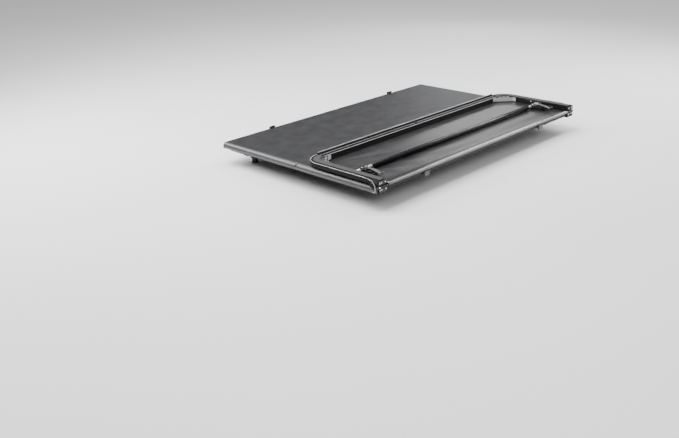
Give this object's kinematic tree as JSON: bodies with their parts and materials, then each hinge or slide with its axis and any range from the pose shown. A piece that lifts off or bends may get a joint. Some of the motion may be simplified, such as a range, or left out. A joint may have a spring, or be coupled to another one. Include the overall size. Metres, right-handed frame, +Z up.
{
  "type": "tonneau cover",
  "caption": "Soft folding tonneau cover for a pickup bed: hinged vinyl panels on a metal frame, rear panel folded over, with bed rail clamps.",
  "frame": {"origin": "middle of the bulkhead seal's underside, on the plane where the cover rests on the bed", "axes": "+X to the passenger side, +Y toward the cab, +Z up"},
  "size_m": [1.72, 1.1955, 0.1672],
  "materials": {
    "vinyl": "leather-grain coated vinyl, satin",
    "black_rail": "black powder coat on aluminium",
    "cast_bracket": "black coated casting",
    "lever_paint": "semi-gloss black",
    "gloss_tube": "gloss black paint",
    "bright_plate": "bright brushed",
    "screw_steel": "zinc plated",
    "seal_rubber": "soft matt rubber",
    "hem_fabric": "grey matt rubber strip",
    "moulded_plastic": "moulded black nylon",
    "webbing": "woven nylon webbing"
  },
  "bodies": {
    "front_panel": {"header_rail": "black_rail", "front_side_rail_left": "black_rail", "front_side_rail_right": "black_rail", "front_centre_bow": "black_rail", "front_rear_bow": "black_rail", "front_vinyl": "vinyl", "bulkhead_seal": "seal_rubber", "front_side_seals": "seal_rubber", "header_corner_brackets": "cast_bracket", "front_hinge_ears": "cast_bracket", "front_hinge_pins": "screw_steel", "front_clamp_brackets": "cast_bracket", "strap_clips": "moulded_plastic"},
    "front_jaw_left": {"front_clamp_jaw_left": "cast_bracket"},
    "front_jaw_right": {"front_clamp_jaw_right": "cast_bracket"},
    "front_knob_left": {"front_clamp_bolt_left": "screw_steel", "front_clamp_knob_left": "moulded_plastic"},
    "front_knob_right": {"front_clamp_bolt_right": "screw_steel", "front_clamp_knob_right": "moulded_plastic"},
    "hinge_link": {"hinge_links": "cast_bracket", "hinge_spacer_bar": "black_rail", "hinge_spacer_ends": "black_rail", "hinge_vinyl": "vinyl"},
    "middle_panel": {"middle_side_rail_left": "black_rail", "middle_side_rail_right": "black_rail", "middle_front_bow": "black_rail", "middle_rear_bow": "black_rail", "middle_vinyl": "vinyl", "middle_side_seals": "seal_rubber", "middle_hinge_ears": "cast_bracket", "middle_hinge_pins": "screw_steel", "middle_hinge_blocks": "cast_bracket", "rear_hinge_pins": "screw_steel", "storage_straps": "webbing", "strap_buckles": "moulded_plastic"},
    "rear_panel": {"rear_side_rail_left": "black_rail", "rear_side_rail_right": "black_rail", "tail_rail": "black_rail", "tail_corner_left": "moulded_plastic", "tail_corner_right": "moulded_plastic", "corner_brace_left": "bright_plate", "corner_brace_right": "bright_plate", "brace_screws": "screw_steel", "rear_hinge_bow": "black_rail", "support_tube": "gloss_tube", "tube_trunnions": "screw_steel", "tube_saddles": "cast_bracket", "rear_vinyl": "vinyl", "rear_side_seals": "hem_fabric", "tail_seal": "seal_rubber", "rear_hinge_blocks": "cast_bracket", "tail_centre_plug": "moulded_plastic"},
    "rear_arm_left": {"rear_clamp_arm_left": "cast_bracket", "rear_lever_pin_left": "screw_steel"},
    "rear_arm_right": {"rear_clamp_arm_right": "cast_bracket", "rear_lever_pin_right": "screw_steel"},
    "rear_hook_left": {"rear_clamp_hook_left": "cast_bracket"},
    "rear_hook_right": {"rear_clamp_hook_right": "cast_bracket"},
    "rear_lever_left": {"rear_clamp_lever_left": "lever_paint"},
    "rear_lever_right": {"rear_clamp_lever_right": "lever_paint"}
  },
  "joints": [
    {"name": "front_fold", "type": "hinge", "parent": "front_panel", "child": "hinge_link", "pos_m": [0, -0.536, 0.022], "axis": [-1, 0, 0], "range_deg": [0, 90]},
    {"name": "middle_fold", "type": "hinge", "parent": "hinge_link", "child": "middle_panel", "pos_m": [0, -0.612, 0.022], "axis": [-1, 0, 0], "range_deg": [0, 90]},
    {"name": "rear_fold", "type": "hinge", "parent": "middle_panel", "child": "rear_panel", "pos_m": [0, -1.16, 0.0365], "axis": [1, 0, 0], "range_deg": [0, 180]},
    {"name": "rear_arm_swing_left", "type": "hinge", "parent": "rear_panel", "child": "rear_arm_left", "pos_m": [-0.746, -0.948, 0.055], "axis": [-1, 0, 0], "range_deg": [0, 90]},
    {"name": "rear_lever_throw_left", "type": "hinge", "parent": "rear_arm_left", "child": "rear_lever_left", "pos_m": [-0.746, -0.986, 0.0686], "axis": [-1, 0, 0], "range_deg": [0, 95]},
    {"name": "rear_hook_slide_left", "type": "slide", "parent": "rear_arm_left", "child": "rear_hook_left", "axis": [0, -1, 0], "range_m": [0, 0.008]},
    {"name": "front_knob_turn_left", "type": "hinge", "parent": "front_panel", "child": "front_knob_left", "pos_m": [-0.742, -0.09, -0.066], "axis": [0, 0, 1], "range_deg": [0, 2524]},
    {"name": "front_jaw_lift_left", "type": "slide", "parent": "front_panel", "child": "front_jaw_left", "axis": [0, 0, 1], "range_m": [0, 0.014]},
    {"name": "rear_arm_swing_right", "type": "hinge", "parent": "rear_panel", "child": "rear_arm_right", "pos_m": [0.746, -0.948, 0.055], "axis": [-1, 0, 0], "range_deg": [0, 90]},
    {"name": "rear_lever_throw_right", "type": "hinge", "parent": "rear_arm_right", "child": "rear_lever_right", "pos_m": [0.746, -0.986, 0.0686], "axis": [-1, 0, 0], "range_deg": [0, 95]},
    {"name": "rear_hook_slide_right", "type": "slide", "parent": "rear_arm_right", "child": "rear_hook_right", "axis": [0, -1, 0], "range_m": [0, 0.008]},
    {"name": "front_knob_turn_right", "type": "hinge", "parent": "front_panel", "child": "front_knob_right", "pos_m": [0.742, -0.09, -0.066], "axis": [0, 0, 1], "range_deg": [0, 2524]},
    {"name": "front_jaw_lift_right", "type": "slide", "parent": "front_panel", "child": "front_jaw_right", "axis": [0, 0, 1], "range_m": [0, 0.014]}
  ],
  "couplings": [
    {"joint": "middle_fold", "follows": "front_fold", "ratio": 1},
    {"joint": "rear_hook_slide_left", "follows": "rear_lever_throw_left", "m_per_rad": 0.0048},
    {"joint": "front_knob_turn_left", "follows": "front_jaw_lift_left", "rad_per_m": 3141.6},
    {"joint": "rear_hook_slide_right", "follows": "rear_lever_throw_right", "m_per_rad": 0.0048},
    {"joint": "front_knob_turn_right", "follows": "front_jaw_lift_right", "rad_per_m": 3141.6}
  ]
}
